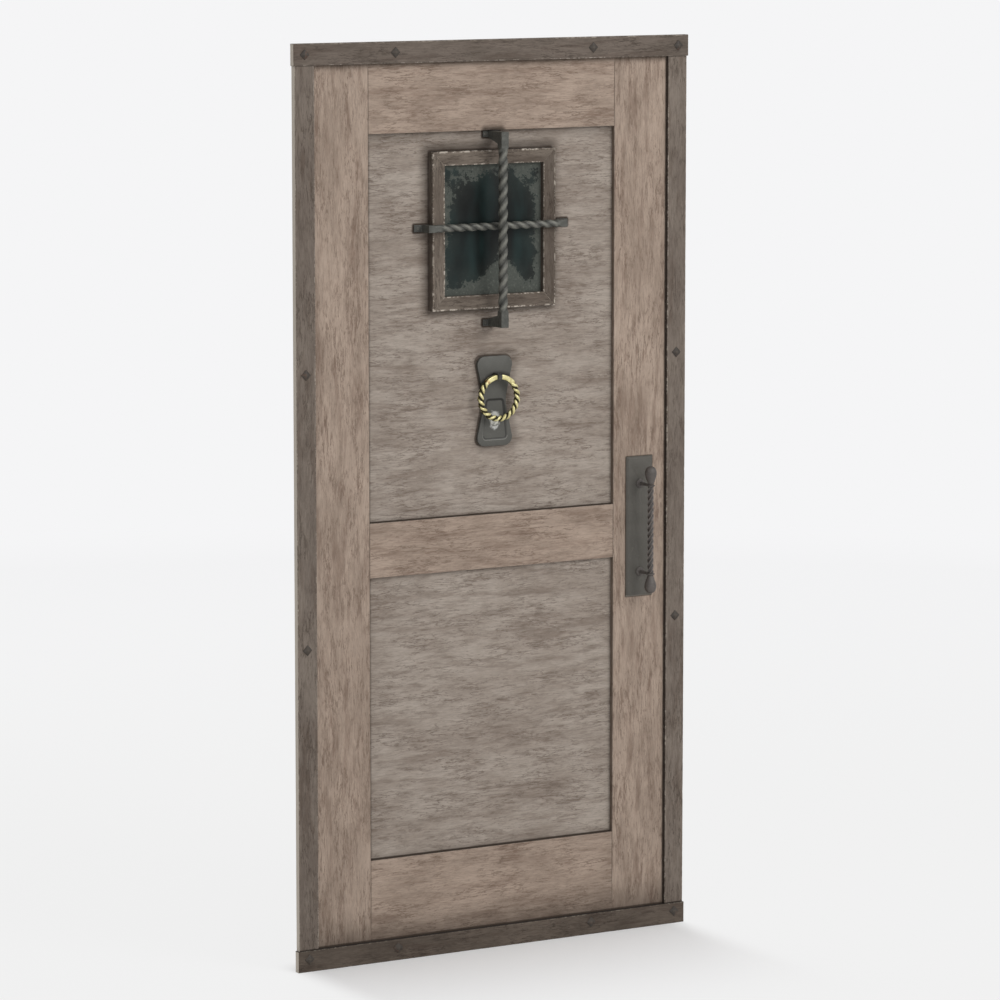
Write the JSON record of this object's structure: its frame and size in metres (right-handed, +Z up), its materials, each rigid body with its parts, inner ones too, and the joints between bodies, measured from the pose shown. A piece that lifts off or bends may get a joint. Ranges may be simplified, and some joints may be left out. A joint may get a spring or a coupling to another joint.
{
  "type": "entry door",
  "caption": "Framed and panelled wooden entry door in nailed casing boards, with barred glazed window, ring knocker, pull handle and slide bolt.",
  "frame": {"origin": "middle of the width at floor level, in the plane of the wall's outer face", "axes": "+Z up, +X to the right seen from the front, -Y out of the front, +Y into the building"},
  "size_m": [1.054, 0.1443, 2.14],
  "materials": {
    "leaf_wood": "weathered, worn matt",
    "panel_wood": "weathered, greyed",
    "casing_wood": "dark stained, chipped edges",
    "foot_wood": "dark stained, chipped edges",
    "window_wood": "dark stained, worn edges",
    "jamb_wood": "sawn, unfinished",
    "grille_iron": "forged, waxed",
    "knocker_iron": "forged, waxed",
    "handle_iron": "forged, waxed",
    "hinge_iron": "black, satin",
    "bolt_iron": "black, satin",
    "nail_iron": "forged, rusty",
    "ring_brass": "aged, dark in the hollows",
    "worn_steel": "worn bright",
    "fixing_steel": "dull",
    "dusty_glass": "dusty, dark behind"
  },
  "bodies": {
    "surround": {"left_casing": "casing_wood", "right_casing": "casing_wood", "head_casing": "casing_wood", "foot_casing": "foot_wood", "casing_nails": "nail_iron", "left_jamb": "jamb_wood", "right_jamb": "jamb_wood", "head_jamb": "jamb_wood", "sill": "jamb_wood", "frame_screws": "fixing_steel", "hinge_jamb_screws": "fixing_steel", "bolt_keep": "bolt_iron", "bolt_keep_screws": "fixing_steel", "upper_hinge_jamb_plate": "hinge_iron", "upper_hinge_pin": "hinge_iron", "middle_hinge_jamb_plate": "hinge_iron", "middle_hinge_pin": "hinge_iron", "lower_hinge_jamb_plate": "hinge_iron", "lower_hinge_pin": "hinge_iron"},
    "leaf": {"bolt_guide_screws": "fixing_steel", "bolt_inner_guide": "bolt_iron", "bolt_outer_guide": "bolt_iron", "bottom_rail": "leaf_wood", "glass_pane": "dusty_glass", "glazing_bead_bottom": "window_wood", "glazing_bead_left": "window_wood", "glazing_bead_right": "window_wood", "glazing_bead_top": "window_wood", "grille_crossbar": "grille_iron", "grille_screws": "fixing_steel", "grille_upright": "grille_iron", "hinge_door_screws": "fixing_steel", "hinge_stile": "leaf_wood", "knocker_lug": "knocker_iron", "knocker_plate": "knocker_iron", "lock_rail": "leaf_wood", "lock_stile": "leaf_wood", "lower_hinge_door_plate": "hinge_iron", "lower_panel": "panel_wood", "middle_hinge_door_plate": "hinge_iron", "pull_bar": "handle_iron", "pull_lower_finial": "handle_iron", "pull_lower_post": "handle_iron", "pull_plate": "handle_iron", "pull_upper_finial": "handle_iron", "pull_upper_post": "handle_iron", "strike_stud": "worn_steel", "through_nuts": "fixing_steel", "through_washers": "fixing_steel", "top_rail": "leaf_wood", "upper_hinge_door_plate": "hinge_iron", "upper_panel": "panel_wood", "window_frame_bottom": "window_wood", "window_frame_left": "window_wood", "window_frame_right": "window_wood", "window_frame_top": "window_wood"},
    "knocker": {"knocker_ring": "ring_brass", "knocker_ring_pin": "knocker_iron"},
    "bolt": {"bolt_bar": "bolt_iron", "bolt_knob": "bolt_iron"}
  },
  "joints": [
    {"name": "leaf_swing", "type": "hinge", "parent": "surround", "child": "leaf", "pos_m": [-0.48225, 0.0459, 0], "axis": [0, 0, 1], "range_deg": [0, 110]},
    {"name": "ring_swing", "type": "hinge", "parent": "leaf", "child": "knocker", "pos_m": [0.007, -0.0187, 1.35706], "axis": [-1, 0, 0], "range_deg": [-1.5, 100]},
    {"name": "bolt_slide", "type": "slide", "parent": "leaf", "child": "bolt", "axis": [1, 0, 0], "range_m": [0, 0.023]}
  ]
}
